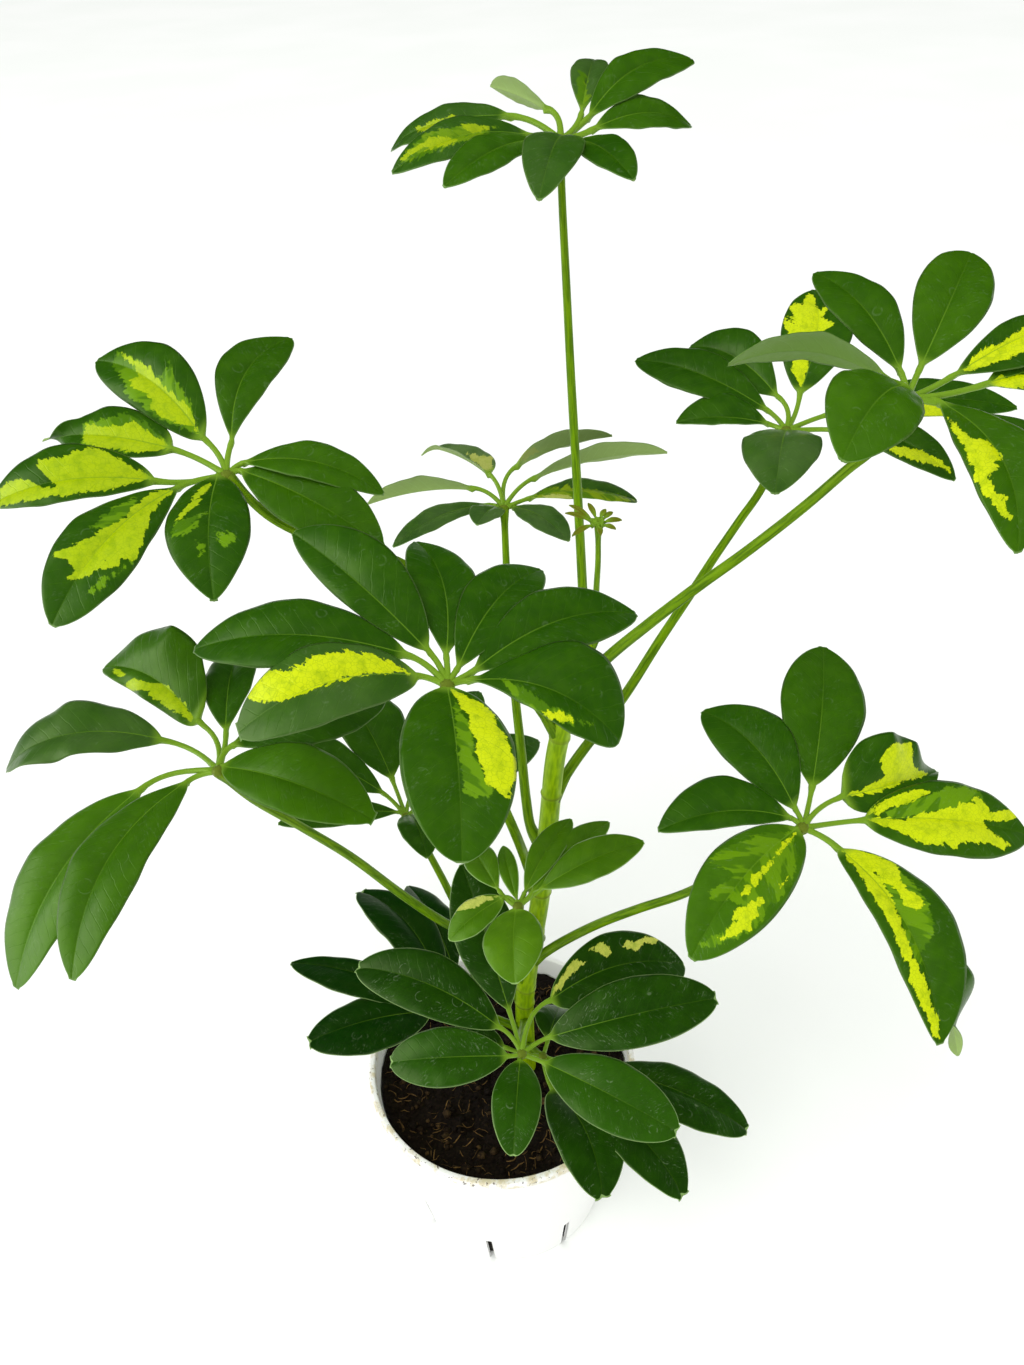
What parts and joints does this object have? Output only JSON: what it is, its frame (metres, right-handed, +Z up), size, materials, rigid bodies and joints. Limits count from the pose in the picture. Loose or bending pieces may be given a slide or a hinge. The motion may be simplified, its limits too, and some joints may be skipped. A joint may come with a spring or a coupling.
{
  "type": "potted umbrella plant",
  "caption": "Dwarf umbrella plant with variegated palmate leaves on long stalks, on one upright stem in a small white plastic nursery pot.",
  "frame": {"origin": "centre of the pot's flat base, on the surface it stands on", "axes": "+Z up, the longest extent; -Y towards the front, the side the picture is taken from; +X to the right in the picture"},
  "size_m": [0.3356, 0.2501, 0.4895],
  "materials": {
    "pot_plastic": "smooth white moulded plastic",
    "potting_soil": "loose dark peat with bark fibres",
    "green_stem": "smooth green stem",
    "leaf": "leathery, semi-gloss, dark green with yellow variegation"
  },
  "bodies": {
    "root": {"pot": "pot_plastic", "soil": "potting_soil", "stem": "green_stem", "leaf_top": "leaf", "leaf_young": "leaf", "leaf_upper_left": "leaf", "leaf_centre": "leaf", "leaf_back": "leaf", "leaf_behind_left": "leaf", "leaf_left": "leaf", "leaf_right_back": "leaf", "leaf_right_front": "leaf", "leaf_right_low": "leaf", "leaf_small": "leaf", "leaf_low_front": "leaf", "leaf_low_right": "leaf", "leaf_low_left": "leaf"}
  },
  "joints": []
}
